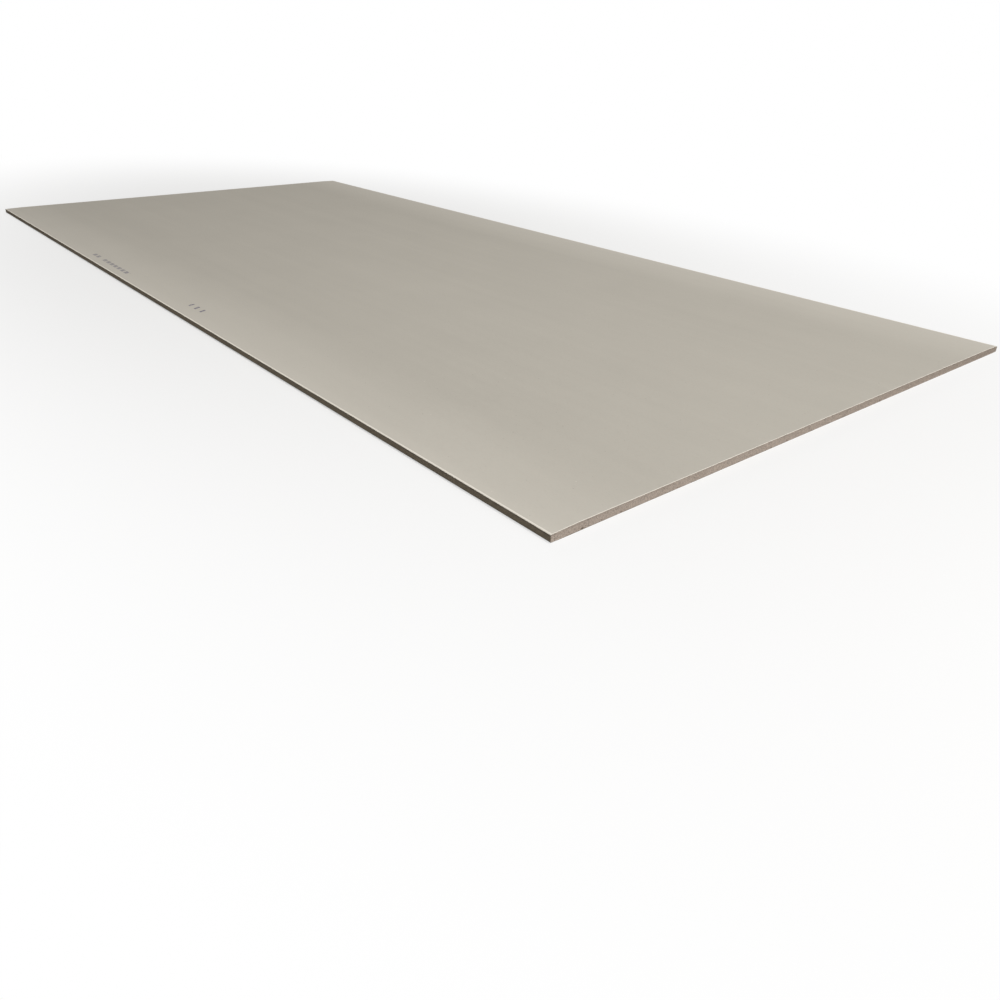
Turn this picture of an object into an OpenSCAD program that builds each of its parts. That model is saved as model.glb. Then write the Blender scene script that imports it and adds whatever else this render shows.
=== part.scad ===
// Drywall sheet: a core of foamed gypsum between two paper liners.
// The face paper wraps round both long edges and is folded in under the back,
// where the back paper laps over its flaps. The two short ends are cut square
// and show the bare core.
//
// The sheet lies flat on its back, face up. X runs along its length, Y across
// its width and Z through its thickness. The origin is the centre of its back.
// All sizes are in millimetres.

/* [Sheet] */
// Length between the two cut ends
board_l = 2600; // [600:50:3600]
// Width between the two wrapped long edges
board_w = 1200; // [400:50:1250]
// Thickness in the middle of the sheet
board_t = 12.5; // [9.5:0.5:25]

/* [Long edges] */
// Width of the band along each long edge where the face slopes down
taper_w = 48; // [30:1:80]
// How far the face has dropped where it meets the long edge
taper_d = 1.2; // [0.6:0.1:2.2]
// Width over which the slope eases into the flat face
shoulder_w = 12; // [4:1:24]
// Outside radius of the face paper where it folds round the long edge
fold_r = 1.5; // [0.8:0.1:2.5]

/* [Paper] */
// Thickness of the face paper
face_paper_t = 0.35; // [0.2:0.05:0.6]
// Thickness of the back paper
back_paper_t = 0.3; // [0.2:0.05:0.6]
// How far the folded flap reaches in under the back, from the long edge
flap_w = 25; // [20:1:40]
// How far the back paper stops short of the long edge
back_margin = 11; // [5:1:18]

/* [Hidden] */

// Straight steps that each fold and each shoulder is drawn with
fold_steps = 8;
shoulder_steps = 6;

half_w = board_w / 2;
slope = taper_d / taper_w;
slope_angle = atan(slope);
// Distance in from the long edge at which the face is flat again
flat_from = taper_w + shoulder_w / 2;

// Height of the outside of the face, at distance d in from the long edge:
// a straight slope, a parabola over the shoulder, then the flat face
function face_z(d) =
    d >= flat_from ? board_t
    : d >= flat_from - shoulder_w ? board_t - slope * pow(flat_from - d, 2) / (2 * shoulder_w)
    : board_t - slope * (taper_w - d);

// Points of a round fold about centre, from angle a0 to angle a1
function fold(centre, r, a0, a1) = [
    for (i = [0:fold_steps])
        let (a = a0 + (a1 - a0) * i / fold_steps)
        centre + r * [cos(a), sin(a)]
];

// Height of the upper fold's centre, where the fold meets the edge and the slope squarely
upper_fold_z = face_z(fold_r) - fold_r / cos(slope_angle);

// Cross-section of one long edge, as [y, z] points from the end of the flap under
// the back, round the edge and up to the flat face. An inset of 0 is the outside
// of the face paper, and an inset of its thickness is its inside.
function edge_outline(inset) = concat(
    [[half_w - flap_w, back_paper_t + inset]],
    fold([half_w - fold_r, back_paper_t + fold_r], fold_r - inset, -90, 0),
    fold([half_w - fold_r, upper_fold_z], fold_r - inset, 0, 90 - slope_angle),
    [
        for (i = [0:shoulder_steps])
            let (d = flat_from - shoulder_w * (1 - i / shoulder_steps))
            [half_w - d, face_z(d) - inset]
    ]
);

// The same points across the sheet's middle line, in the opposite order
function mirrored(points) = [
    for (i = [len(points) - 1:-1:0]) [-points[i].x, points[i].y]
];

// Both long edges and the face between them, from flap to flap
function wrap_outline(inset) = concat(edge_outline(inset), mirrored(edge_outline(inset)));

function reversed(points) = [for (i = [len(points) - 1:-1:0]) points[i]];

// Runs a [y, z] cross-section along the whole length of the sheet
module along_sheet() {
    rotate([90, 0, 90])
        linear_extrude(height = board_l, center = true)
            children();
}

// Fills the wrap of face paper, and comes down between its flaps to the back paper
module gypsum_core() {
    core_outline = concat(
        wrap_outline(face_paper_t),
        [[flap_w - half_w, back_paper_t], [half_w - flap_w, back_paper_t]]
    );
    color([0.80, 0.73, 0.69])
        along_sheet()
            polygon(core_outline);
}

// One liner over the face, down both long edges and in under the back
module face_paper() {
    paper_outline = concat(wrap_outline(0), reversed(wrap_outline(face_paper_t)));
    color([0.75, 0.73, 0.68])
        along_sheet()
            polygon(paper_outline);
}

// One liner over the back, glued to the core and to both flaps
module back_paper() {
    color([0.60, 0.55, 0.49])
        along_sheet()
            translate([back_margin - half_w, 0])
                square([board_w - 2 * back_margin, back_paper_t]);
}

gypsum_core();
face_paper();
back_paper();
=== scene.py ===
"""Looks of a drywall sheet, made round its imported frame.

Units are metres. X runs along the sheet, Y across it and Z up through its
thickness, from the centre of its back. Three pieces stand for the three solids
of the frame: the gypsum core with its bare cut ends, the face liner that wraps
both long edges, and the back liner. Torn fibres and gypsum crumbs cling to the
cut ends.
"""

import math

import bpy
import numpy as np
from mathutils import Euler, Matrix, Vector


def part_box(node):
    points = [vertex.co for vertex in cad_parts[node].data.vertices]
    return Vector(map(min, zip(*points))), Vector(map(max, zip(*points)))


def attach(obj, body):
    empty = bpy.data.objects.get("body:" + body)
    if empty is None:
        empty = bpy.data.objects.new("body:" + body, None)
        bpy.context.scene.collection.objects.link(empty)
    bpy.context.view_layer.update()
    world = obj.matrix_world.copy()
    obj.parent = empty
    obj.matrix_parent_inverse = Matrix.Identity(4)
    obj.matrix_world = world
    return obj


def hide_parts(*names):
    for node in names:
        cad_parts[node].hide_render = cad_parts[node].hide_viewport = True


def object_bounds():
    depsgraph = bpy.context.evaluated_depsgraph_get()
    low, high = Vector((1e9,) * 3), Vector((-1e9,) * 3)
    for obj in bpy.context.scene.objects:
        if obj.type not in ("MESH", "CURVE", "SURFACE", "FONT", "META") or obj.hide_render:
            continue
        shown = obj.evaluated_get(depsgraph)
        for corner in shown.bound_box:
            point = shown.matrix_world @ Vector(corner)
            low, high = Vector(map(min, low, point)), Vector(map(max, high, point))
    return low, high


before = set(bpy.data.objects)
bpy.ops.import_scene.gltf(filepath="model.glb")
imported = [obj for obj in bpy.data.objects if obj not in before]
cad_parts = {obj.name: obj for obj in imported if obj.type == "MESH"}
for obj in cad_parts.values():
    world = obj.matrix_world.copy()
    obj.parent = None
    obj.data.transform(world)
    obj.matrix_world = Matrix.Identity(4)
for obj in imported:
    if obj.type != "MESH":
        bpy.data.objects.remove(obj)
CAD_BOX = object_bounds()

bl_info = {
    "name": "Drywall Sheet",
    "version": (1, 0, 0),
    "blender": (4, 5, 0),
    "location": "View3D > Sidebar > Drywall",
    "description": "Liners, bare cut ends and studio for a sheet of gypsum board",
    "category": "Add Mesh",
}

MM = 0.001
TINY = 1e-6
BODY = "root"
BAKE_MAP = "OFBake"

SHEET_HIGH = CAD_BOX[1]
HALF_LENGTH = SHEET_HIGH.x
HALF_WIDTH = SHEET_HIGH.y
THICKNESS = SHEET_HIGH.z


def srgb(red, green, blue):
    """A colour given as it shows on a screen, 0 to 255, as the linear values that Blender uses."""
    shares = (red / 255, green / 255, blue / 255)
    return tuple(s / 12.92 if s <= 0.04045 else ((s + 0.055) / 1.055) ** 2.4 for s in shares)


# --------------------------------------------------------------- settings


def length(name, description, default):
    return bpy.props.FloatProperty(
        name=name, description=description, default=default, min=0, unit="LENGTH", precision=5
    )


def number(name, description, default, least=0, **more):
    return bpy.props.FloatProperty(name=name, description=description, default=default, min=least, **more)


def count(name, description, default, least=0):
    return bpy.props.IntProperty(name=name, description=description, default=default, min=least)


def colour(name, description, default):
    return bpy.props.FloatVectorProperty(
        name=name, description=description, default=default, min=0, max=1, subtype="COLOR"
    )


def angle(name, description, degrees):
    return bpy.props.FloatProperty(
        name=name, description=description, default=math.radians(degrees), subtype="ANGLE"
    )


class LinerSettings(bpy.types.PropertyGroup):
    """Sizes and colours of the face liner and the back liner."""

    recess: length("Recess", "How far the liners stop short of each cut end", 0.15 * MM)
    station: length("Station", "Distance between two sections along the sheet", 12 * MM)
    flat_step: length("Flat step", "Distance between points across the flat face", 20 * MM)
    edge_step: length("Edge step", "Distance between points near the long edges", 3 * MM)
    wave_height: length("Wave height", "Depth of the face's slow waves", 0.12 * MM)
    wave_size: length("Wave size", "Length of the face's slow waves", 250 * MM)
    bruise_depth: length("Bruise depth", "Depth of the dents along the long edges", 0.22 * MM)
    bruise_size: length("Bruise size", "Length of the dents along the long edges", 55 * MM)
    face: colour("Face", "Ivory top ply of the face liner", srgb(197, 191, 179))
    face_fibre: colour("Face fibre", "Darker fibres in the face liner", srgb(158, 147, 131))
    # Also the colour of the painted highlight along the face liner's folds and cut rims, of its lightening
    # towards the long edges, and of the torn fibres.
    wear_and_highlight: colour("Wear and highlight colour", "Rubbed paper along the folds and rims", srgb(250, 243, 230))
    back: colour("Back", "Recycled top ply of the back liner", srgb(168, 156, 138))
    back_fibre: colour("Back fibre", "Darker fibres in the back liner", srgb(104, 90, 76))
    inner_ply: colour("Inner ply", "Grey plies that show where a liner is cut", srgb(128, 113, 96))
    ink: colour("Ink", "Ink of the small guide dashes", srgb(92, 88, 116))


class CoreSettings(bpy.types.PropertyGroup):
    """Sizes and colours of the gypsum core and what clings to its cut ends."""

    column: length("Column", "Distance between points across a cut end", 0.6 * MM)
    rows: count("Rows", "Rows of faces through the thickness", 19, least=4)
    recess: length("Recess", "Least depth of the cut face behind the sheet's end", 0.25 * MM)
    lump_height: length("Lump height", "Height of the cut face's lumps", 0.22 * MM)
    drag_height: length("Drag height", "Height of the knife's drag marks", 0.1 * MM)
    grain_height: length("Grain height", "Height of the cut face's grain", 0.2 * MM)
    pore_smallest: length("Smallest pore", "Radius of the smallest modelled pores", 0.35 * MM)
    pore_largest: length("Largest pore", "Radius of the largest modelled pores", 0.95 * MM)
    pores: count("Pores", "Modelled pores on each cut end", 2600)
    chips: count("Chips", "Bits broken out beside the liners on each end", 70)
    crumb_density: number("Crumb density", "Loose crumbs on each square metre of cut face", 42000)
    crumb_size: length("Crumb size", "Radius of the largest loose crumbs", 0.22 * MM)
    fibre_spacing: length("Fibre spacing", "Distance between torn fibres along a rim", 1.3 * MM)
    fibre_length: length("Fibre length", "Length of the longest torn fibres", 1.5 * MM)
    fibre_radius: length("Fibre radius", "Radius of a torn fibre", 0.035 * MM)
    gypsum: colour("Gypsum", "Cut face of the core", srgb(210, 197, 186))
    # Painted shade: this darker colour inside the pores and pits stands in for the shade that falls in
    # them.
    pore_shade: colour("Pore Shade", "Inside of the pores", srgb(146, 130, 119))
    dust: colour("Dust", "Loose gypsum dust and crumbs", srgb(233, 224, 214))


class StageSettings(bpy.types.PropertyGroup):
    """The floor, the lamps and the camera."""

    beyond_end: length("Beyond the end", "Camera's distance past the near cut end", 625.3 * MM)
    beyond_edge: length("Beyond the edge", "Camera's distance out from the near long edge", 608.6 * MM)
    above_face: length("Above the face", "Camera's height over the face", 513.5 * MM)
    heading: angle("Heading", "Camera's heading, turned from +Y towards -X", 49.785)
    dip: angle("Dip", "How far down the camera looks", 28.317)
    roll: angle("Roll", "Camera's lean", 1.333)
    lens: number("Lens", "Focal length on a 36 mm sensor", 30.778, least=1, unit="CAMERA")
    floor: colour("Floor", "Pale studio floor", (0.93, 0.92, 0.9))
    floor_bounce: colour("Floor bounce", "Colour that the floor lends to the sides", (0.285, 0.24, 0.185))
    sky: number("Sky", "Strength of the even light from all round", 0.1)
    key: number("Key", "Power of the soft lamp high over the near cut end, in watts", 241)
    low: number("Low", "Power of the low lamp that rakes the near cut end, in watts", 9.5)
    fill: number("Fill", "Power of the fill lamp beyond the far cut end, in watts", 35)


# ------------------------------------------------------------ node helpers


def add(tree, kind, inputs=None, **choices):
    """Adds a node. Each input is a value, or the socket that feeds it."""
    node = tree.nodes.new(kind)
    for name, value in choices.items():
        setattr(node, name, value)
    for key, value in (inputs or {}).items():
        if isinstance(value, bpy.types.NodeSocket):
            tree.links.new(value, node.inputs[key])
        else:
            node.inputs[key].default_value = value
    return node


def maths(tree, operation, first, second=0.0):
    return add(tree, "ShaderNodeMath", {0: first, 1: second}, operation=operation).outputs[0]


def product(tree, first, *others):
    for other in others:
        first = maths(tree, "MULTIPLY", first, other)
    return first


def total(tree, first, *others):
    for other in others:
        first = maths(tree, "ADD", first, other)
    return first


def scaled(tree, vector, factor):
    """A colour or a vector times one number."""
    return add(tree, "ShaderNodeVectorMath", {0: vector, "Scale": factor}, operation="SCALE").outputs[0]


def xyz(tree, **parts):
    """A vector from its X, Y and Z. What isn't given is 0."""
    return add(tree, "ShaderNodeCombineXYZ", parts).outputs[0]


def ease(tree, value, low, high, to_low=0.0, to_high=1.0):
    """Turns value, from low to high, smoothly into the range from to_low to to_high."""
    inputs = {"Value": value, 1: low, 2: high, 3: to_low, 4: to_high}
    return add(tree, "ShaderNodeMapRange", inputs, interpolation_type="SMOOTHSTEP").outputs[0]


def blend(tree, factor, first, second, way="MIX"):
    """Mixes two colours."""
    inputs = {0: factor, 6: first, 7: second}
    return add(tree, "ShaderNodeMix", inputs, data_type="RGBA", blend_type=way).outputs[2]


def stretched(tree, vector, scales):
    return add(tree, "ShaderNodeVectorMath", {0: vector, 1: scales}, operation="MULTIPLY").outputs[0]


def cloud(tree, vector, scale, detail=2.0, roughness=0.5):
    """Smooth noise from 0 to 1, with about scale lumps to the metre."""
    inputs = {"Vector": vector, "Scale": scale, "Detail": detail, "Roughness": roughness}
    return add(tree, "ShaderNodeTexNoise", inputs).outputs[0]


def dots(tree, vector, scale, radius, rarity):
    """Round dots on random cells: scale cells to the metre, radius in cells, rarity from 0 to 1."""
    cells = add(tree, "ShaderNodeTexVoronoi", {"Vector": vector, "Scale": scale})
    chance = add(tree, "ShaderNodeSeparateColor", {0: cells.outputs["Color"]})
    chosen = maths(tree, "GREATER_THAN", chance.outputs[0], rarity)
    size = ease(tree, chance.outputs[1], 0.0, 1.0, 0.45 * radius, radius)
    near = maths(tree, "SUBTRACT", 1.0, maths(tree, "DIVIDE", cells.outputs["Distance"], size))
    return product(tree, chosen, ease(tree, near, 0.0, 0.5))


COLOUR, NUMBER, PLACE = "NodeSocketColor", "NodeSocketFloat", "NodeSocketVector"


def shader_group(name, inputs, outputs):
    """A shader node group, with what it is given and what it gives.

    Each output has its kind of socket. So has each input, or it has the number that is its default.
    """
    tree = bpy.data.node_groups.new(name, "ShaderNodeTree")
    for label, given in inputs.items():
        kind = given if isinstance(given, str) else NUMBER
        socket = tree.interface.new_socket(label, in_out="INPUT", socket_type=kind)
        if kind is NUMBER:
            socket.default_value = given
    for label, kind in outputs.items():
        tree.interface.new_socket(label, in_out="OUTPUT", socket_type=kind)
    return tree, tree.nodes.new("NodeGroupInput").outputs, tree.nodes.new("NodeGroupOutput").inputs


def give(tree, exits, values):
    for label, value in values.items():
        tree.links.new(value, exits[label])


def edge_distance_group():
    """Distances in from the cut ends and from the long edges."""
    tree, entry, exits = shader_group(
        "Distance to edges", {"Vector": PLACE}, {"End": NUMBER, "Side": NUMBER}
    )
    place = add(tree, "ShaderNodeSeparateXYZ", {0: entry["Vector"]}).outputs
    end = maths(tree, "SUBTRACT", HALF_LENGTH, maths(tree, "ABSOLUTE", place["X"]))
    side = maths(tree, "SUBTRACT", HALF_WIDTH, maths(tree, "ABSOLUTE", place["Y"]))
    give(tree, exits, {"End": end, "Side": side})
    return tree


def paper_group():
    """Paper made from recycled pulp: slow clouds, fibres laid along the sheet, and specks."""
    tree, entry, exits = shader_group(
        "Pulp paper",
        {"Vector": PLACE, "Base": COLOUR, "Fibre": COLOUR, "Clouds": 0.05, "Fibres": 0.2, "Specks": 0.5},
        {"Color": COLOUR, "Roughness": NUMBER, "Height": NUMBER},
    )
    place = entry["Vector"]
    slow = cloud(tree, place, 5.0, 3.0)
    flock = cloud(tree, place, 90.0, 3.0)
    streak = cloud(tree, stretched(tree, place, (1.2, 34.0, 34.0)), 1.0, 2.0)
    fibre = cloud(tree, stretched(tree, place, (170.0, 1100.0, 1100.0)), 1.0, 2.0, 0.6)
    lint = dots(tree, stretched(tree, place, (0.45, 1.0, 1.0)), 240.0, 0.16, 0.9)
    sparse = dots(tree, place, 60.0, 0.05, 0.72)

    slow, streak, tuft = (maths(tree, "SUBTRACT", noise, 0.5) for noise in (slow, streak, flock))
    uneven = total(tree, slow, streak, product(tree, tuft, 0.8))
    light = total(tree, product(tree, uneven, entry["Clouds"]), 1.0)
    woven = product(tree, ease(tree, fibre, 0.5, 0.75), entry["Fibres"])
    pulp = blend(tree, woven, scaled(tree, entry["Base"], light), entry["Fibre"])
    specks = product(tree, maths(tree, "MAXIMUM", lint, sparse), entry["Specks"])
    outcome = {
        "Color": blend(tree, specks, pulp, scaled(tree, entry["Fibre"], 0.45)),
        "Roughness": ease(tree, flock, 0.3, 0.7, 0.66, 0.8),
        "Height": total(tree, product(tree, fibre, 0.7), product(tree, flock, 0.3)),
    }
    give(tree, exits, outcome)
    return tree


def foam_group():
    """Foamed gypsum that was cut: fine pores with painted shade in them, drag marks and blotches."""
    tree, entry, exits = shader_group(
        "Foamed gypsum grain",
        {"Vector": PLACE, "Base": COLOUR, "Pore Shade": COLOUR, "Dust": COLOUR},
        {"Color": COLOUR, "Roughness": NUMBER, "Height": NUMBER},
    )
    place = entry["Vector"]
    coarse = dots(tree, place, 420.0, 0.3, 0.5)
    fine = dots(tree, place, 1300.0, 0.36, 0.45)
    pits = maths(tree, "MAXIMUM", coarse, product(tree, fine, 0.75))
    blotch = cloud(tree, place, 28.0, 3.0)
    drag = cloud(tree, stretched(tree, place, (1.0, 900.0, 90.0)), 1.0, 2.0)
    crystal = cloud(tree, place, 1700.0, 2.0, 0.7)
    mottle = cloud(tree, place, 450.0, 4.0, 0.7)
    grit = cloud(tree, place, 4200.0, 2.0, 0.8)
    white = dots(tree, place, 500.0, 0.3, 0.78)

    shades = ((blotch, 0.16), (drag, 0.12), (crystal, 0.22), (mottle, 1.3), (grit, 0.3))
    light = total(tree, -0.04, *(product(tree, noise, strength) for noise, strength in shades))
    dusty = blend(tree, product(tree, white, 0.8), scaled(tree, entry["Base"], light), entry["Dust"])
    bumps = ((crystal, 0.35), (drag, 0.2), (grit, 0.2), (pits, -1.0))
    outcome = {
        # Painted shade: the pits are darkened towards the pore shade colour.
        "Color": blend(tree, product(tree, pits, 0.8), dusty, entry["Pore Shade"]),
        "Roughness": ease(tree, crystal, 0.2, 0.8, 0.85, 0.97),
        "Height": total(tree, *(product(tree, noise, rise) for noise, rise in bumps)),
    }
    give(tree, exits, outcome)
    return tree


def wear_and_highlight_group():
    """A patchy mask that is strongest at an edge and gone at Width in from it."""
    tree, entry, exits = shader_group(
        "Edge wear and highlight",
        {"Vector": PLACE, "Distance": 0.0, "Width": 0.001, "Patches": 60.0, "Cover": 0.6},
        {"Mask": NUMBER},
    )
    near = ease(tree, maths(tree, "DIVIDE", entry["Distance"], entry["Width"]), 0.75, 1.0, 1.0, 0.0)
    patch = cloud(tree, entry["Vector"], entry["Patches"], 3.0)
    wanted = maths(tree, "SUBTRACT", 1.0, entry["Cover"])
    kept = maths(tree, "SUBTRACT", patch, product(tree, wanted, 0.8))
    give(tree, exits, {"Mask": product(tree, near, ease(tree, kept, 0.0, 0.25))})
    return tree


def dust_group():
    """Thin gypsum dust that fades in from the cut ends."""
    tree, entry, exits = shader_group(
        "Gypsum dust",
        {"Vector": PLACE, "Color": COLOUR, "Dust": COLOUR, "Distance": 0.0, "Reach": 0.05, "Amount": 0.3},
        {"Color": COLOUR},
    )
    near = ease(tree, maths(tree, "DIVIDE", entry["Distance"], entry["Reach"]), 0.0, 1.0, 1.0, 0.0)
    drift = cloud(tree, entry["Vector"], 24.0, 4.0, 0.6)
    grains = dots(tree, entry["Vector"], 330.0, 0.14, 0.86)
    film = product(tree, near, ease(tree, drift, 0.35, 0.75))
    lying = product(tree, maths(tree, "MAXIMUM", film, product(tree, grains, near)), entry["Amount"])
    give(tree, exits, {"Color": blend(tree, lying, entry["Color"], entry["Dust"])})
    return tree


def dash_group():
    """A row of short plain dashes of faint ink. The dash that is numbered Gap is left out."""
    tree, entry, exits = shader_group(
        "Ink dashes",
        {
            "Vector": PLACE,
            "Start": 0.0,
            "End": 0.1,
            "Centre": 0.0,
            "Height": 0.01,
            "Pitch": 0.02,
            "Share": 0.5,
            "Gap": -1.0,
        },
        {"Mask": NUMBER},
    )
    place = add(tree, "ShaderNodeSeparateXYZ", {0: entry["Vector"]}).outputs
    across = maths(tree, "SUBTRACT", place["Y"], entry["Centre"])
    lean = total(tree, place["X"], product(tree, across, 0.4))
    along = maths(tree, "DIVIDE", maths(tree, "SUBTRACT", lean, entry["Start"]), entry["Pitch"])
    stroke = maths(tree, "LESS_THAN", maths(tree, "FRACT", along), entry["Share"])
    from_gap = maths(tree, "ABSOLUTE", maths(tree, "SUBTRACT", maths(tree, "FLOOR", along), entry["Gap"]))
    kept = maths(tree, "GREATER_THAN", from_gap, 0.5)
    begun = maths(tree, "GREATER_THAN", place["X"], entry["Start"])
    unended = maths(tree, "LESS_THAN", place["X"], entry["End"])
    off_centre = maths(tree, "DIVIDE", maths(tree, "ABSOLUTE", across), entry["Height"])
    tall = ease(tree, off_centre, 0.4, 0.5, 1.0, 0.0)
    broken = ease(tree, cloud(tree, entry["Vector"], 300.0, 3.0, 0.7), 0.3, 0.5)
    above = maths(tree, "GREATER_THAN", place["Z"], 0.5 * THICKNESS)
    give(tree, exits, {"Mask": product(tree, stroke, kept, begun, unended, tall, broken, above)})
    return tree


SHADER_GROUPS = {
    "distance": edge_distance_group,
    "paper": paper_group,
    "foam": foam_group,
    "wear": wear_and_highlight_group,
    "dust": dust_group,
    "dash": dash_group,
}
built_groups = {}


def placed(tree, group, inputs):
    """Puts one of the shared shader groups in a material, and returns its outputs."""
    if group not in built_groups:
        built_groups[group] = SHADER_GROUPS[group]()
    return add(tree, "ShaderNodeGroup", inputs, node_tree=built_groups[group]).outputs


# --------------------------------------------------------------- materials


def rgba(value):
    return (*value, 1.0)


def start_material(name, shine):
    """A fresh material with its tree, its shader and the place on the sheet."""
    material = bpy.data.materials.new(name)
    material.use_nodes = True
    tree = material.node_tree
    shader = tree.nodes["Principled BSDF"]
    shader.inputs["Specular IOR Level"].default_value = shine
    place = tree.nodes.new("ShaderNodeTexCoord").outputs["Object"]
    return material, tree, shader, place


def finish_surface(tree, shader, shown, surface, depth):
    """Feeds the shader its colour, and the surface's roughness and relief, which is depth high."""
    tree.links.new(shown, shader.inputs["Base Color"])
    tree.links.new(surface["Roughness"], shader.inputs["Roughness"])
    bump = add(tree, "ShaderNodeBump", {"Height": surface["Height"], "Distance": depth, "Strength": 1.0})
    tree.links.new(bump.outputs[0], shader.inputs["Normal"])


def pulp(tree, place, base, fibre, clouds, fibres, specks):
    """Pulp paper in these two colours."""
    colours = {"Base": rgba(base), "Fibre": rgba(fibre)}
    amounts = {"Clouds": clouds, "Fibres": fibres, "Specks": specks}
    return placed(tree, "paper", {"Vector": place, **colours, **amounts})


def foam(tree, place, base, pore_shade, dust):
    """Foamed gypsum in these three colours."""
    colours = {"Base": rgba(base), "Pore Shade": rgba(pore_shade), "Dust": rgba(dust)}
    return placed(tree, "foam", {"Vector": place, **colours})


def wear_and_highlight_mask(tree, place, distance, width, patches, cover):
    """Where the paper shows wear, and on the face liner also a painted highlight, within width of the edge
    that distance is measured from.
    """
    inputs = {"Vector": place, "Distance": distance, "Width": width, "Patches": patches, "Cover": cover}
    return placed(tree, "wear", inputs)["Mask"]


def dusted(tree, place, shown, dust, distance, reach, amount):
    """The colour shown, under the dust that lies within reach of a cut end."""
    inputs = {"Vector": place, "Color": shown, "Dust": rgba(dust), "Distance": distance}
    return placed(tree, "dust", {**inputs, "Reach": reach, "Amount": amount})["Color"]


# The two rows of guide dashes on the face, near the long edge at -Y
LONG_ROW = {
    "Start": -487 * MM,
    "End": -227 * MM,
    "Centre": 28 * MM - HALF_WIDTH,
    "Height": 12 * MM,
    "Pitch": 26 * MM,
    "Share": 0.7,
    "Gap": 2.0,
}
SHORT_ROW = {
    "Start": 114 * MM,
    "End": 190 * MM,
    "Centre": 43 * MM - HALF_WIDTH,
    "Height": 15 * MM,
    "Pitch": 29 * MM,
    "Share": 0.27,
}


def face_liner_material(liner, core):
    material, tree, shader, place = start_material("Ivory face liner", 0.35)
    edges = placed(tree, "distance", {"Vector": place})
    up = add(tree, "ShaderNodeSeparateXYZ", {0: place}).outputs["Z"]
    on_top = ease(tree, up, 0.83 * THICKNESS, 0.87 * THICKNESS)
    paper = pulp(tree, place, liner.face, liner.face_fibre, 0.06, 0.14, 0.5)
    # Lighter towards the long edges: strongest at the edge, fading out within 200 mm.
    wide = ease(tree, edges["Side"], 0.0, 200 * MM, 0.19, 0.0)
    narrow = ease(tree, edges["Side"], 0.0, 40 * MM, 0.05, 0.0)
    edge_lightening = product(tree, total(tree, wide, narrow), on_top)
    paler = blend(tree, edge_lightening, paper["Color"], rgba(liner.wear_and_highlight))

    # Painted shade: a dark line along the long edges just under the fold.
    above_middle = ease(tree, up, 0.68 * THICKNESS, 0.8 * THICKNESS)
    below_fold = ease(tree, up, 0.84 * THICKNESS, 0.86 * THICKNESS, 1.0, 0.0)
    on_edge = ease(tree, edges["Side"], 0.5 * MM, 1.0 * MM, 0.6, 0.0)
    shadow_line = product(tree, above_middle, below_fold, on_edge)
    shaded_below_fold = blend(tree, shadow_line, paler, rgba(liner.back_fibre))

    # Partly wear, partly painted highlight: a pale line along the folds of the long edges and along the
    # rims at the cut ends.
    fold_wear_and_highlight = wear_and_highlight_mask(tree, place, edges["Side"], 3.9 * MM, 30.0, 0.95)
    rim_wear_and_highlight = wear_and_highlight_mask(tree, place, edges["End"], 1.9 * MM, 60.0, 0.9)
    wear_and_highlight = product(tree, maths(tree, "MAXIMUM", fold_wear_and_highlight, rim_wear_and_highlight), on_top, 0.9)
    shown = blend(tree, wear_and_highlight, shaded_below_fold, rgba(liner.wear_and_highlight))
    dusty = dusted(tree, place, shown, core.dust, edges["End"], 12 * MM, product(tree, on_top, 0.08))

    long_row = product(tree, placed(tree, "dash", {"Vector": place, **LONG_ROW})["Mask"], 0.7)
    short_row = placed(tree, "dash", {"Vector": place, **SHORT_ROW})["Mask"]
    inked = product(tree, maths(tree, "MAXIMUM", long_row, short_row), 0.75)
    marked = blend(tree, inked, dusty, rgba(liner.ink))
    grains = product(tree, dots(tree, place, 40.0, 0.055, 0.5), on_top, 0.55)
    sprinkled = blend(tree, grains, marked, rgba(core.dust))
    finish_surface(tree, shader, sprinkled, paper, 0.06 * MM)
    return material


def back_liner_material(liner, core):
    material, tree, shader, place = start_material("Grey-brown back liner", 0.25)
    edges = placed(tree, "distance", {"Vector": place})
    paper = pulp(tree, place, liner.back, liner.back_fibre, 0.16, 0.4, 0.8)
    ground = product(tree, wear_and_highlight_mask(tree, place, edges["Side"], 19 * MM, 70.0, 0.5), 0.35)
    scuffed = blend(tree, ground, paper["Color"], rgba(liner.inner_ply))
    dusty = dusted(tree, place, scuffed, core.dust, edges["End"], 90 * MM, 0.35)
    finish_surface(tree, shader, dusty, paper, 0.09 * MM)
    return material


def cut_liner_material(liner, core):
    material, tree, shader, place = start_material("Cut edge of a liner", 0.2)
    edges = placed(tree, "distance", {"Vector": place})
    paper = pulp(tree, place, liner.inner_ply, liner.back_fibre, 0.5, 0.5, 0.3)
    dusty = dusted(tree, place, paper["Color"], core.dust, edges["End"], 5 * MM, 0.75)
    finish_surface(tree, shader, dusty, paper, 0.12 * MM)
    return material


def fibre_material(liner):
    material, tree, shader, place = start_material("Torn paper fibre", 0.3)
    paper = pulp(tree, place, liner.wear_and_highlight, liner.inner_ply, 0.6, 0.5, 0.0)
    finish_surface(tree, shader, paper["Color"], paper, 0.01 * MM)
    return material


def gypsum_material(core):
    material, tree, shader, place = start_material("Foamed gypsum", 0.15)
    grain = foam(tree, place, core.gypsum, core.pore_shade, core.dust)
    # Painted shade: pores and chips darken by how deep they are.
    hollow_shade = add(tree, "ShaderNodeAttribute", attribute_name="hollow_shade").outputs["Fac"]
    shaded = blend(tree, product(tree, hollow_shade, 0.5), grain["Color"], rgba(core.pore_shade))
    finish_surface(tree, shader, shaded, grain, 0.16 * MM)
    return material


def crumb_material(core):
    material, tree, shader, place = start_material("Loose gypsum crumb", 0.15)
    grain = foam(tree, place, core.dust, core.gypsum, core.dust)
    finish_surface(tree, shader, grain["Color"], grain, 0.05 * MM)
    return material


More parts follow.
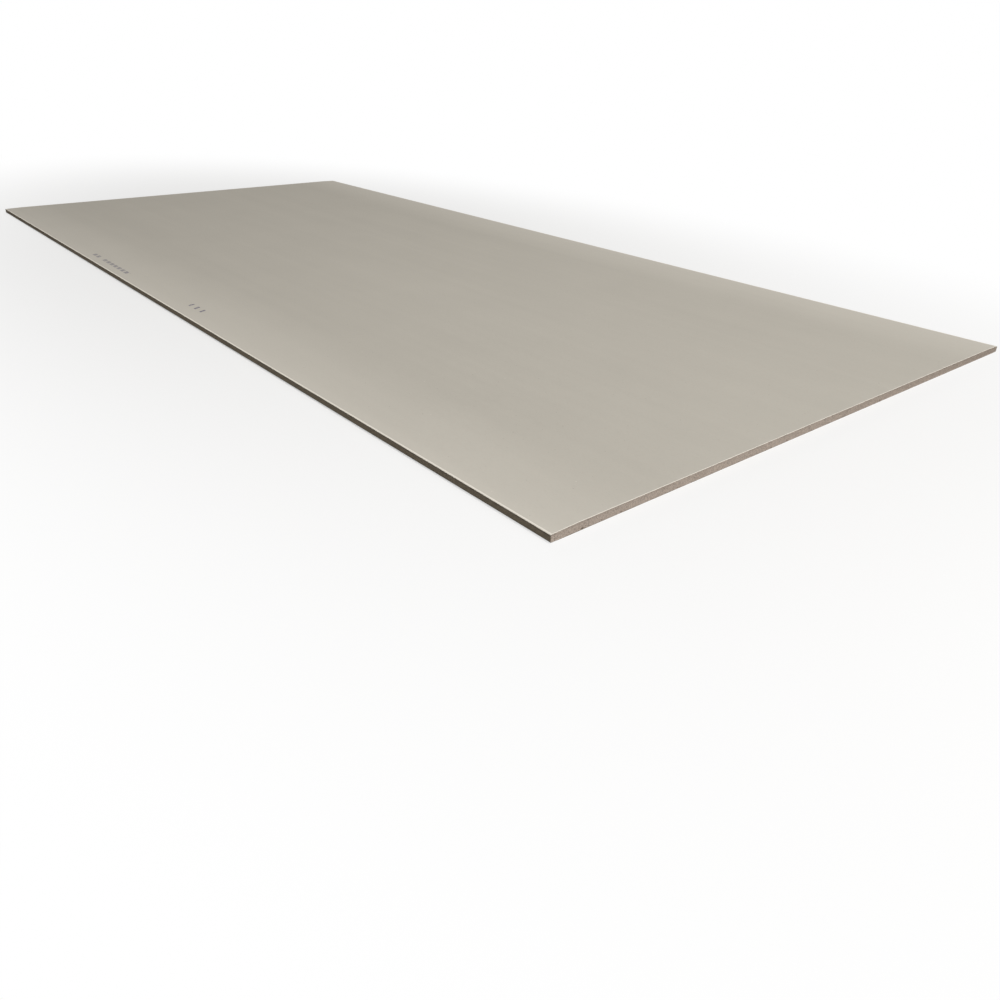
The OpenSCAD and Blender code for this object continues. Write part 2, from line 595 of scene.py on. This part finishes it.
# ------------------------------------------------------ outlines and pieces


def end_loop(node):
    """Outline of a CAD node's cut end at +X: (y, z) points, each next to the one after it."""
    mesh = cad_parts[node].data
    end_x = max(v.co.x for v in mesh.vertices)
    steps = set()
    for face in mesh.polygons:
        corners = [mesh.vertices[i].co for i in face.vertices]
        if min(c.x for c in corners) > end_x - TINY:
            points = [(round(c.y, 6), round(c.z, 6)) for c in corners]
            steps.update(zip(points, points[1:] + points[:1]))
    after = {a: b for a, b in steps if (b, a) not in steps}
    loop = [min(after)]
    while after[loop[-1]] != loop[0]:
        loop.append(after[loop[-1]])
    return loop


def two_chains(loop, is_cut):
    """The two open chains that are left of a loop without the two steps that is_cut picks."""
    count = len(loop)
    first, second = [i for i in range(count) if is_cut(loop[i], loop[(i + 1) % count])]
    return loop[first + 1 : second + 1], loop[second + 1 :] + loop[: first + 1]


def upright(a, b):
    return abs(a[0] - b[0]) < TINY


def refined(chain, flat_step, edge_step, edge_band):
    """The chain with more points: edge_step apart within edge_band of the long edges."""
    points = [chain[0]]
    for (y0, z0), (y1, z1) in zip(chain, chain[1:]):
        inner = HALF_WIDTH - abs(y0 + y1) / 2
        step = edge_step if inner < edge_band else flat_step
        pieces = max(1, math.ceil(math.hypot(y1 - y0, z1 - z0) / step))
        parts = [i / pieces for i in range(1, pieces + 1)]
        points += [(y0 + (y1 - y0) * part, z0 + (z1 - z0) * part) for part in parts]
    return points


def starting_at_plus_y(chain):
    return chain if chain[0][0] > chain[-1][0] else chain[::-1]


def plain_mesh(obj, name):
    """The evaluated object as a mesh of its own. The object and its modifiers go."""
    graph = bpy.context.evaluated_depsgraph_get()
    mesh = bpy.data.meshes.new_from_object(obj.evaluated_get(graph))
    mesh.name = name
    bpy.data.objects.remove(obj)
    return mesh


def split_shading(mesh):
    """Makes each edge of a flat face sharp, so that smooth faces beside it keep their own normals."""
    sharp = np.zeros(len(mesh.edges), dtype=bool)
    for face in mesh.polygons:
        if not face.use_smooth:
            sharp[[mesh.loops[loop].edge_index for loop in face.loop_indices]] = True
    mesh.edges.foreach_set("use_edge_sharp", sharp)


def new_object(name, mesh):
    obj = bpy.data.objects.new(name, mesh)
    bpy.context.scene.collection.objects.link(obj)
    return obj


def fit_to_sheet(obj, node=None):
    """Ties a finished piece to the sheet's body, and hides the CAD node that it stands for."""
    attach(obj, BODY)
    if node is not None:
        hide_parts(node)
    return obj


# ---------------------------------------------------------- geometry nodes


def geometry_tree(name, numbers, whole_numbers):
    """A Geometry Nodes tree. It takes a geometry, a material and these inputs, and gives a geometry."""
    tree = bpy.data.node_groups.new(name, "GeometryNodeTree")
    kinds = {"Geometry": "NodeSocketGeometry", "Material": "NodeSocketMaterial"}
    kinds.update(dict.fromkeys(numbers, "NodeSocketFloat"))
    kinds.update(dict.fromkeys(whole_numbers, "NodeSocketInt"))
    for label, kind in kinds.items():
        tree.interface.new_socket(label, in_out="INPUT", socket_type=kind)
    tree.interface.new_socket("Geometry", in_out="OUTPUT", socket_type="NodeSocketGeometry")
    return tree, tree.nodes.new("NodeGroupInput").outputs


def end_tree(tree, entry, geometry):
    """Ends a tree in Realize Instances and Set Material."""
    real = add(tree, "GeometryNodeRealizeInstances", {"Geometry": geometry}).outputs[0]
    dressed = add(tree, "GeometryNodeSetMaterial", {"Geometry": real, "Material": entry["Material"]})
    tree.links.new(dressed.outputs[0], tree.nodes.new("NodeGroupOutput").inputs[0])
    return tree


def run_tree(mesh, name, tree, values):
    """Runs a tree on a mesh with these values, and returns the result as a plain mesh."""
    obj = new_object(name, mesh)
    modifier = obj.modifiers.new(name, "NODES")
    modifier.node_group = tree
    for item in tree.interface.items_tree:
        if item.in_out == "INPUT" and item.name in values:
            modifier[item.identifier] = values[item.name]
    return plain_mesh(obj, name)


def random_vector(tree, least, most, seed):
    """A random vector for each point, between two others."""
    inputs = {0: least, 1: most, "Seed": seed}
    return add(tree, "FunctionNodeRandomValue", inputs, data_type="FLOAT_VECTOR").outputs[0]


def strew(tree, points, shape, angles, size):
    """The shape on each point, turned by these angles."""
    rotation = add(tree, "FunctionNodeEulerToRotation", {0: angles}).outputs[0]
    inputs = {"Points": points, "Instance": shape, "Rotation": rotation, "Scale": size}
    return add(tree, "GeometryNodeInstanceOnPoints", inputs).outputs[0]


def sweep_tree():
    """Runs an outline along the sheet, then adds slow waves to the face and bruises to the long edges."""
    sizes = ["Length", "Wave Height", "Wave Size", "Bruise Depth", "Bruise Size"]
    tree, entry = geometry_tree("Liner sweep", sizes, ["Stations"])
    half = product(tree, entry["Length"], 0.5)
    ends = {"Start": xyz(tree, X=product(tree, half, -1.0)), "End": xyz(tree, X=half)}
    line = add(tree, "GeometryNodeCurvePrimitiveLine", ends).outputs[0]
    path = add(tree, "GeometryNodeResampleCurve", {"Curve": line, "Count": entry["Stations"]}).outputs[0]
    profile = add(tree, "GeometryNodeMeshToCurve", {"Mesh": entry["Geometry"]}).outputs[0]
    swept = add(tree, "GeometryNodeCurveToMesh", {"Curve": path, "Profile Curve": profile}).outputs[0]

    spot = tree.nodes.new("GeometryNodeInputPosition").outputs[0]
    place = add(tree, "ShaderNodeSeparateXYZ", {0: spot}).outputs
    reach = maths(tree, "ABSOLUTE", place["X"])
    calm = ease(tree, maths(tree, "SUBTRACT", half, reach), 0.0, 30 * MM)
    on_face = ease(tree, place["Z"], 0.5 * THICKNESS, 0.8 * THICKNESS)
    wave = cloud(tree, spot, maths(tree, "DIVIDE", 1.0, entry["Wave Size"]), 1.0)
    sink = product(tree, wave, calm, on_face, entry["Wave Height"])

    inward = maths(tree, "SUBTRACT", HALF_WIDTH, maths(tree, "ABSOLUTE", place["Y"]))
    at_edge = ease(tree, inward, 0.0, 1.2 * MM, 1.0, 0.0)
    dent = cloud(tree, spot, maths(tree, "DIVIDE", 1.0, entry["Bruise Size"]), 3.0)
    push = product(tree, ease(tree, dent, 0.45, 0.68), calm, at_edge, entry["Bruise Depth"])
    outward = maths(tree, "SIGN", place["Y"])
    offset = xyz(tree, Y=product(tree, push, outward, -1.0), Z=product(tree, sink, -1.0))
    moved = add(tree, "GeometryNodeSetPosition", {"Geometry": swept, "Offset": offset}).outputs[0]
    smooth = add(tree, "GeometryNodeSetShadeSmooth", {"Geometry": moved}).outputs[0]
    return end_tree(tree, entry, smooth)


def fibre_tree():
    """Lays short torn fibres along the rims it is given, each turned and sized at random."""
    sizes = ["Spacing", "Length", "Radius", "Scatter", "Lowest Angle", "Highest Angle"]
    tree, entry = geometry_tree("Torn fibres", sizes, ["Seed"])
    rims = add(tree, "GeometryNodeMeshToCurve", {"Mesh": entry["Geometry"]}).outputs[0]
    spaced = {"Curve": rims, "Length": entry["Spacing"]}
    points = add(tree, "GeometryNodeResampleCurve", spaced, mode="LENGTH").outputs[0]
    aside, scatter = product(tree, entry["Spacing"], 0.5), entry["Scatter"]
    low = xyz(tree, Y=product(tree, aside, -1.0), Z=product(tree, scatter, -1.0))
    shift = random_vector(tree, low, xyz(tree, Y=aside, Z=scatter), entry["Seed"])
    shifted = add(tree, "GeometryNodeSetPosition", {"Geometry": points, "Offset": shift}).outputs[0]

    def along(share_of_length, rise):
        reach = product(tree, entry["Length"], share_of_length)
        return xyz(tree, Y=reach, Z=product(tree, entry["Length"], rise))

    bend = {"Start": along(0.0, 0.0), "Middle": along(0.5, 0.3), "End": along(1.0, 0.0)}
    bow = add(tree, "GeometryNodeCurveQuadraticBezier", {"Resolution": 4, **bend}).outputs[0]
    round_wire = {"Resolution": 3, "Radius": entry["Radius"]}
    ring = add(tree, "GeometryNodeCurvePrimitiveCircle", round_wire).outputs[0]
    closed = {"Curve": bow, "Profile Curve": ring, "Fill Caps": True}
    strand = add(tree, "GeometryNodeCurveToMesh", closed).outputs[0]
    lean = 0.04
    least = xyz(tree, X=entry["Lowest Angle"], Y=-lean, Z=-lean)
    most = xyz(tree, X=entry["Highest Angle"], Y=lean, Z=lean)
    turn = random_vector(tree, least, most, entry["Seed"])
    spread = {2: 0.35, 3: 1.0, "Seed": entry["Seed"]}
    grow = add(tree, "FunctionNodeRandomValue", spread, data_type="FLOAT").outputs[1]
    return end_tree(tree, entry, strew(tree, shifted, strand, turn, grow))


def crumb_tree():
    """Strews lumpy crumbs over the faces that look along the sheet."""
    tree, entry = geometry_tree("Gypsum crumbs", ["Density", "Radius"], ["Seed"])
    normal = tree.nodes.new("GeometryNodeInputNormal").outputs[0]
    facing = maths(tree, "ABSOLUTE", add(tree, "ShaderNodeSeparateXYZ", {0: normal}).outputs["X"])
    where = {
        "Mesh": entry["Geometry"],
        "Selection": maths(tree, "GREATER_THAN", facing, 0.4),
        "Density": entry["Density"],
        "Seed": entry["Seed"],
    }
    points = add(tree, "GeometryNodeDistributePointsOnFaces", where).outputs["Points"]
    ball = add(tree, "GeometryNodeMeshIcoSphere", {"Radius": entry["Radius"], "Subdivisions": 1}).outputs[0]
    turn = random_vector(tree, (-math.pi,) * 3, (math.pi,) * 3, entry["Seed"])
    size = random_vector(tree, (0.25,) * 3, (1.0,) * 3, entry["Seed"])
    return end_tree(tree, entry, strew(tree, points, ball, turn, size))


# -------------------------------------------------------- liners and core


def outline_mesh(chain, name):
    """The chain as edges, laid out as the sweep wants its profile."""
    mesh = bpy.data.meshes.new(name)
    mesh.from_pydata([(-y, -z, 0) for y, z in chain], [(i, i + 1) for i in range(len(chain) - 1)], [])
    return mesh


def developed(chain):
    """Distance along the chain of each of its points."""
    steps = [math.dist(a, b) for a, b in zip(chain, chain[1:])]
    return np.concatenate([[0.0], np.cumsum(steps)])


# Bands of a liner's map, each with its start and its height: the side that shows, the side
# on the core, the rims at the cut ends and the rims at the flaps' ends
SHOWN_BAND, GLUED_BAND = (0.005, 0.915), (0.93, 0.03)
END_RIM_BAND, FLAP_RIM_BAND = (0.97, 0.008), (0.985, 0.008)


def liner_bake_map(mesh, chain, shown_faces):
    """A map that gives most of its room to the side that shows, and more to the narrow edges."""
    way = developed(chain)
    boost = np.where(np.abs([y for y, z in chain]) > HALF_WIDTH - 5 * MM, 4.0, 1.0)
    weight = np.concatenate([[0.0], np.cumsum(np.diff(way) * (boost[1:] + boost[:-1]) / 2)])
    row = weight / weight[-1]
    count = len(chain)
    x = np.array([v.co.x for v in mesh.vertices])
    margin = 0.004
    across = margin + (1 - 2 * margin) * (x + HALF_LENGTH) / (2 * HALF_LENGTH)
    layer = mesh.uv_layers.new(name=BAKE_MAP)
    uv = np.zeros((len(mesh.loops), 2))
    for face in mesh.polygons:
        for loop in face.loop_indices:
            vertex = mesh.loops[loop].vertex_index
            v = row[vertex % count]
            u = across[vertex]
            if face.index < shown_faces:
                start, height = SHOWN_BAND
            elif face.index < 2 * shown_faces:
                start, height = GLUED_BAND
            elif abs(face.normal.x) < 0.5:
                start, height = FLAP_RIM_BAND
                v = vertex >= len(mesh.vertices) // 2
            else:
                start, height = END_RIM_BAND
                u = margin + (1 - 2 * margin) * v
                v = vertex >= len(mesh.vertices) // 2
            uv[loop] = (u, start + height * v)
    layer.data.foreach_set("uv", uv.astype(np.float32).ravel())


def swept_liner(name, chain, thickness, liner, material, cut_material, waves):
    """A closed liner of this thickness: the chain swept along the sheet, with cut rims."""
    reach = 2 * (HALF_LENGTH - liner.recess)
    values = {
        "Length": reach,
        "Stations": round(reach / liner.station) + 1,
        "Wave Height": liner.wave_height if waves else 0.0,
        "Wave Size": liner.wave_size,
        "Bruise Depth": liner.bruise_depth if waves else 0.0,
        "Bruise Size": liner.bruise_size,
        "Material": material,
    }
    sheet = run_tree(outline_mesh(chain, name), name, sweep_tree(), values)
    shown_faces = len(sheet.polygons)
    sheet.materials.append(cut_material)
    obj = new_object(name, sheet)
    wall = obj.modifiers.new("Paper thickness", "SOLIDIFY")
    wall.thickness = thickness
    wall.offset = -1.0
    wall.use_even_offset = True
    wall.material_offset_rim = 1
    mesh = plain_mesh(obj, name)
    for face in mesh.polygons:
        face.use_smooth = face.index < 2 * shown_faces
    split_shading(mesh)
    liner_bake_map(mesh, chain, shown_faces)
    return new_object(name, mesh)


def face_chain(liner):
    """Outside of the face liner, from the flap at +Y round to the flap at -Y, and its thickness."""
    loop = end_loop("face_paper")
    inside = HALF_WIDTH - 5 * MM
    flap_end = [(a, b) for a, b in zip(loop, loop[1:] + loop[:1]) if upright(a, b) and abs(a[0]) < inside]
    thickness = abs(flap_end[0][0][1] - flap_end[0][1][1])
    chains = two_chains(loop, lambda a, b: (a, b) in flap_end)
    outside = max(chains, key=lambda chain: max(y for y, z in chain))
    return refined(starting_at_plus_y(outside), liner.flat_step, liner.edge_step, 60 * MM), thickness


def rim_mesh(rim, end):
    """The same rim at both cut ends, as edges."""
    places = [(x, y, z) for x in (-end, end) for y, z in rim]
    count = len(rim)
    edges = [(i, i + 1) for i in range(2 * count - 1) if i != count - 1]
    mesh = bpy.data.meshes.new("rims")
    mesh.from_pydata(places, edges, [])
    return mesh


def smooth_noise(across, up, cell_across, cell_up, rng):
    """Smooth random heights from 0 to 1 at each place, with cells of this size."""
    along_y = (across - across.min()) / cell_across
    along_z = (up - up.min()) / cell_up
    lattice = rng.random((int(along_y.max()) + 2, int(along_z.max()) + 2))
    i, j = along_y.astype(int), along_z.astype(int)
    s, t = along_y - i, along_z - j
    s, t = s * s * (3 - 2 * s), t * t * (3 - 2 * t)
    near = lattice[i, j] * (1 - s) + lattice[i + 1, j] * s
    far = lattice[i, j + 1] * (1 - s) + lattice[i + 1, j + 1] * s
    return near * (1 - t) + far * t


def press_bowls(depth, across, up, centres, radii, steepness):
    """Presses a round bowl into depth at each centre."""
    columns = across[:, 0]
    for (cy, cz), radius in zip(centres, radii):
        first, last = np.searchsorted(columns, (cy - radius, cy + radius))
        near = slice(first, last)
        away = ((across[near] - cy) ** 2 + (up[near] - cz) ** 2) / radius**2
        depth[near] = np.maximum(depth[near], steepness * radius * np.clip(1 - away, 0, 1))


def cut_relief(across, up, low, high, core, rng):
    """How deep the cut face lies behind the sheet's end at each place, and how deep its pores and chips are
    there, which the material uses as painted shade.
    """
    lumps = 0.6 * smooth_noise(across, up, 22 * MM, 6 * MM, rng)
    lumps += 0.4 * smooth_noise(across, up, 3 * MM, 2 * MM, rng)
    drag = smooth_noise(across, up, 1.3 * MM, 9 * MM, rng)
    grain = smooth_noise(across, up, 1.2 * MM, 1.2 * MM, rng)
    holes = np.zeros_like(across)
    grade = rng.random(core.pores) ** 5
    radii = core.pore_smallest + (core.pore_largest - core.pore_smallest) * grade
    columns = across[:, 0]
    y = rng.uniform(across.min(), across.max(), core.pores)
    middle = 0.5 + 0.42 * rng.uniform(-1, 1, core.pores)
    z = np.interp(y, columns, low) * (1 - middle) + np.interp(y, columns, high) * middle
    press_bowls(holes, across, up, zip(y, z), radii, 0.75)

    y = rng.uniform(across.min() + 5 * MM, across.max() - 5 * MM, core.chips)
    under_face = rng.random(core.chips) < 0.6
    edge = np.where(under_face, np.interp(y, columns, high), np.interp(y, columns, low))
    press_bowls(holes, across, up, zip(y, edge), rng.uniform(0.8 * MM, 2.6 * MM, core.chips), 0.45)
    rough = core.lump_height * lumps + core.drag_height * drag + core.grain_height * grain
    return core.recess + rough + holes, np.clip(holes / (0.7 * MM), 0, 1)


def core_section(core):
    """Columns across the core's cut end, each with the height of its foot and its head."""
    loop = end_loop("gypsum_core")
    widest = max(y for y, z in loop)
    chains = two_chains(loop, lambda a, b: upright(a, b) and abs(a[0]) > widest - TINY)
    lower, upper = sorted(chains, key=lambda chain: max(z for y, z in chain))
    lower, upper = (np.array(sorted(chain)) for chain in (lower, upper))
    even = np.linspace(-widest, widest, round(2 * widest / core.column) + 1)
    at_folds = np.array([y for y, z in loop if abs(y) > widest - 3 * MM])
    y = np.unique(np.round(np.concatenate([even, at_folds]), 6))
    y = y[np.concatenate([[True], np.diff(y) > 0.02 * MM])]
    return y, np.interp(y, lower[:, 0], lower[:, 1]), np.interp(y, upper[:, 0], upper[:, 1])


def core_bake_map(mesh, columns, rows, strips=8):
    """A map with each cut end laid out as strips, one above another. The hidden sides share one."""
    grid = columns * (rows + 1)
    lanes = 2 * strips + 1
    per_strip = math.ceil((columns - 1) / strips)
    side_margin, lane_margin = 0.006, 0.06
    end_faces = (columns - 1) * rows
    uv = np.zeros((len(mesh.loops), 2))
    for face in mesh.polygons:
        hidden = face.index >= 2 * end_faces
        end, cell = divmod(face.index, end_faces)
        strip = (cell // rows) // per_strip
        lane = lanes - 1 if hidden else end * strips + strip
        for loop in face.loop_indices:
            column, row = divmod(mesh.loops[loop].vertex_index % grid, rows + 1)
            if hidden:
                s = column / columns
                t = 0.2 + 0.6 * (mesh.loops[loop].vertex_index >= grid)
            else:
                s = (column - strip * per_strip) / per_strip
                t = row / rows
            height = lane + lane_margin + (1 - 2 * lane_margin) * t
            uv[loop] = (side_margin + (1 - 2 * side_margin) * s, height / lanes)
    mesh.uv_layers.new(name=BAKE_MAP).data.foreach_set("uv", uv.astype(np.float32).ravel())


def core_mesh(core):
    """The core: a relief of pores and drag marks on each cut end, joined by plain hidden sides."""
    y, low, high = core_section(core)
    columns, rows = len(y), core.rows
    rise = np.linspace(0, 1, rows + 1)
    up = low[:, None] + (high - low)[:, None] * rise
    across = np.repeat(y[:, None], rows + 1, axis=1)
    places, hollow_shades = [], []
    for side, seed in ((-1, 11), (1, 12)):
        depth, hollow_shade = cut_relief(across, up, low, high, core, np.random.default_rng(seed))
        places.append(np.stack([side * (HALF_LENGTH - depth), across, up], axis=-1).reshape(-1, 3))
        hollow_shades.append(hollow_shade.ravel())
    grid = columns * (rows + 1)

    index = np.arange(grid).reshape(columns, rows + 1)
    quads = np.stack([index[:-1, :-1], index[:-1, 1:], index[1:, 1:], index[1:, :-1]], axis=-1)
    quads = quads.reshape(-1, 4)
    rim = np.concatenate([index[:-1, 0], index[-1, :-1], index[:0:-1, -1], index[0, :0:-1]])
    after = np.roll(rim, -1)
    sides = np.stack([rim, rim + grid, after + grid, after], axis=-1)
    faces = np.concatenate([quads, quads[:, ::-1] + grid, sides[:, ::-1]])

    mesh = bpy.data.meshes.new("gypsum_core_cut")
    mesh.from_pydata(np.concatenate(places).tolist(), [], faces.tolist())
    # Painted shade: how deep each point lies in a pore or chip, read by the gypsum material to darken it.
    hollow_shade = mesh.attributes.new("hollow_shade", "FLOAT", "POINT")
    hollow_shade.data.foreach_set("value", np.concatenate(hollow_shades).astype(np.float32))
    mesh.polygons.foreach_set("use_smooth", np.arange(len(faces)) < 2 * len(quads))
    split_shading(mesh)
    core_bake_map(mesh, columns, rows)
    return mesh


class DRYWALL_OT_gypsum_core(bpy.types.Operator):
    """Make the gypsum core with its bare cut ends"""

    bl_idname = "drywall.gypsum_core"
    bl_label = "Gypsum core"

    def execute(self, context):
        core = context.scene.drywall_core
        mesh = core_mesh(core)
        mesh.materials.append(gypsum_material(core))
        fit_to_sheet(new_object("gypsum_core_cut", mesh), "gypsum_core")
        return {"FINISHED"}


class DRYWALL_OT_liners(bpy.types.Operator):
    """Make the face liner, which wraps both long edges, and the back liner"""

    bl_idname = "drywall.liners"
    bl_label = "Face and back liners"

    def execute(self, context):
        liner, core = context.scene.drywall_liner, context.scene.drywall_core
        cut = cut_liner_material(liner, core)
        chain, thickness = face_chain(liner)
        paper = face_liner_material(liner, core)
        face = swept_liner("face_liner", chain, thickness, liner, paper, cut, waves=True)
        fit_to_sheet(face, "face_paper")

        low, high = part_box("back_paper")
        chain = refined([(low.y, low.z), (high.y, low.z)], liner.flat_step, liner.edge_step, 30 * MM)
        paper = back_liner_material(liner, core)
        back = swept_liner("back_liner", chain, high.z - low.z, liner, paper, cut, waves=False)
        fit_to_sheet(back, "back_paper")
        return {"FINISHED"}


class DRYWALL_OT_torn_fibres(bpy.types.Operator):
    """Lay torn fibres along the liners' rims at both cut ends"""

    bl_idname = "drywall.torn_fibres"
    bl_label = "Torn fibres"

    def execute(self, context):
        liner, core = context.scene.drywall_liner, context.scene.drywall_core
        chain, thickness = face_chain(liner)
        low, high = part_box("back_paper")
        clear = 2 * MM
        top = [(y, z) for y, z in chain if z > 0.5 * THICKNESS and abs(y) < HALF_WIDTH - clear]
        face_rim = [(y, z - 0.5 * thickness) for y, z in top]
        back_rim = [(low.y + clear, 0.5 * high.z), (high.y - clear, 0.5 * high.z)]
        material = fibre_material(liner)
        slant = math.radians(12)
        for name, rim, slot, low_angle, seed in (
            ("torn_fibres_face", face_rim, "face_paper", -math.pi, 5),
            ("torn_fibres_back", back_rim, "back_paper", 0.0, 6),
        ):
            values = {
                "Spacing": core.fibre_spacing,
                "Length": core.fibre_length,
                "Radius": core.fibre_radius,
                "Scatter": 0.2 * thickness,
                "Lowest Angle": low_angle + slant,
                "Highest Angle": low_angle + math.pi - slant,
                "Seed": seed,
                "Material": material,
            }
            fibres = run_tree(rim_mesh(rim, HALF_LENGTH - liner.recess), name, fibre_tree(), values)
            fit_to_sheet(new_object(name, fibres))
        return {"FINISHED"}


class DRYWALL_OT_crumbs(bpy.types.Operator):
    """Strew loose gypsum crumbs over both cut ends"""

    bl_idname = "drywall.crumbs"
    bl_label = "Gypsum crumbs"

    def execute(self, context):
        core = context.scene.drywall_core
        mesh = bpy.data.objects["gypsum_core_cut"].data.copy()
        mesh.materials.clear()
        values = {
            "Density": core.crumb_density,
            "Radius": core.crumb_size,
            "Seed": 3,
            "Material": crumb_material(core),
        }
        crumbs = run_tree(mesh, "gypsum_crumbs", crumb_tree(), values)
        fit_to_sheet(new_object("gypsum_crumbs", crumbs))
        return {"FINISHED"}


# -------------------------------------------------------------------- stage


def floor_material(stage):
    """Pale floor that fades to white far out. It lights the sheet's sides less than it shows."""
    material = bpy.data.materials.new("Studio floor")
    material.use_nodes = True
    tree = material.node_tree
    shader = tree.nodes["Principled BSDF"]
    shader.inputs["Roughness"].default_value = 0.9
    shader.inputs["Specular IOR Level"].default_value = 0.0
    seen = add(tree, "ShaderNodeLightPath").outputs["Is Camera Ray"]
    shown = blend(tree, seen, rgba(stage.floor_bounce), rgba(stage.floor))
    tree.links.new(shown, shader.inputs["Base Color"])
    place = tree.nodes.new("ShaderNodeTexCoord").outputs["Object"]
    about_sheet = stretched(tree, place, (0.5, 1.0, 1.0))
    away = add(tree, "ShaderNodeVectorMath", {0: about_sheet}, operation="LENGTH").outputs["Value"]
    far = product(tree, seen, ease(tree, away, 0.5, 1.4, 0.45, 1.0))
    glow = add(tree, "ShaderNodeEmission", {"Color": (1, 1, 1, 1), "Strength": 1.0})
    mixed = add(tree, "ShaderNodeMixShader", {0: far, 1: shader.outputs[0], 2: glow.outputs[0]})
    tree.links.new(mixed.outputs[0], tree.nodes["Material Output"].inputs["Surface"])
    return material


def lamp(name, size, power, place, target):
    """A soft square lamp at place that points at target."""
    data = bpy.data.lights.new(name, "AREA")
    data.size = size
    data.energy = power
    obj = new_object(name, data)
    obj.location = place
    obj.rotation_mode = "QUATERNION"
    obj.rotation_quaternion = (Vector(target) - Vector(place)).to_track_quat("-Z", "Y")
    obj.visible_camera = False
    return obj


class DRYWALL_OT_stage(bpy.types.Operator):
    """Set the pale floor, the soft lamps and the camera"""

    bl_idname = "drywall.stage"
    bl_label = "Studio"

    def execute(self, context):
        scene, stage = context.scene, context.scene.drywall_stage
        reach = 60.0
        mesh = bpy.data.meshes.new("studio_floor")
        corners = [(-reach, -reach), (reach, -reach), (reach, reach), (-reach, reach)]
        mesh.from_pydata([(x, y, -0.05 * MM) for x, y in corners], [], [(0, 1, 2, 3)])
        mesh.materials.append(floor_material(stage))
        new_object("studio_floor", mesh)

        scene.world = bpy.data.worlds.new("Studio")
        scene.world.use_nodes = True
        tree = scene.world.node_tree
        seen = add(tree, "ShaderNodeLightPath").outputs["Is Camera Ray"]
        strength = ease(tree, seen, 0.0, 1.0, stage.sky, 1.0)
        tree.links.new(strength, tree.nodes["Background"].inputs["Strength"])
        tree.nodes["Background"].inputs["Color"].default_value = (1, 1, 1, 1)

        lamp("key_lamp", 2.0, stage.key, (2.0, 0.4, 5.7), (0.4, 0.0, 0.0))
        lamp("low_lamp", 0.5, stage.low, (2.9, -0.35, 0.45), (1.3, -0.2, 0.0))
        lamp("fill_lamp", 1.5, stage.fill, (-4.5, 1.2, 1.7), (0.0, 0.0, 0.0)).visible_glossy = False

        data = bpy.data.cameras.new("camera")
        data.lens = stage.lens
        data.sensor_width = 36.0
        data.clip_start, data.clip_end = 0.01, 200.0
        camera = new_object("camera", data)
        camera.location = (
            HALF_LENGTH + stage.beyond_end,
            -HALF_WIDTH - stage.beyond_edge,
            THICKNESS + stage.above_face,
        )
        aim = Euler((math.pi / 2 - stage.dip, 0.0, stage.heading)).to_matrix()
        camera.rotation_euler = (aim @ Matrix.Rotation(stage.roll, 3, "Z")).to_euler()
        scene.camera = camera
        scene.view_settings.view_transform = "Standard"
        return {"FINISHED"}


class DRYWALL_PT_panel(bpy.types.Panel):
    """Lists the steps that make the sheet"""

    bl_idname = "DRYWALL_PT_panel"
    bl_label = "Drywall sheet"
    bl_space_type = "VIEW_3D"
    bl_region_type = "UI"
    bl_category = "Drywall"

    def draw(self, context):
        for operator in OPERATORS:
            self.layout.operator(operator.bl_idname)
        for group in SETTINGS:
            box = self.layout.box()
            for name in SETTINGS[group].__annotations__:
                box.prop(getattr(context.scene, group), name)


SETTINGS = {"drywall_liner": LinerSettings, "drywall_core": CoreSettings, "drywall_stage": StageSettings}
OPERATORS = (
    DRYWALL_OT_gypsum_core,
    DRYWALL_OT_liners,
    DRYWALL_OT_torn_fibres,
    DRYWALL_OT_crumbs,
    DRYWALL_OT_stage,
)


def register():
    for name, group in SETTINGS.items():
        bpy.utils.register_class(group)
        setattr(bpy.types.Scene, name, bpy.props.PointerProperty(type=group))
    for item in (*OPERATORS, DRYWALL_PT_panel):
        bpy.utils.register_class(item)


def unregister():
    for item in (DRYWALL_PT_panel, *reversed(OPERATORS)):
        bpy.utils.unregister_class(item)
    for name, group in SETTINGS.items():
        delattr(bpy.types.Scene, name)
        bpy.utils.unregister_class(group)


def main():
    register()
    bpy.ops.drywall.gypsum_core()
    bpy.ops.drywall.liners()
    bpy.ops.drywall.torn_fibres()
    bpy.ops.drywall.crumbs()
    bpy.ops.drywall.stage()


if __name__ == "__main__":
    main()
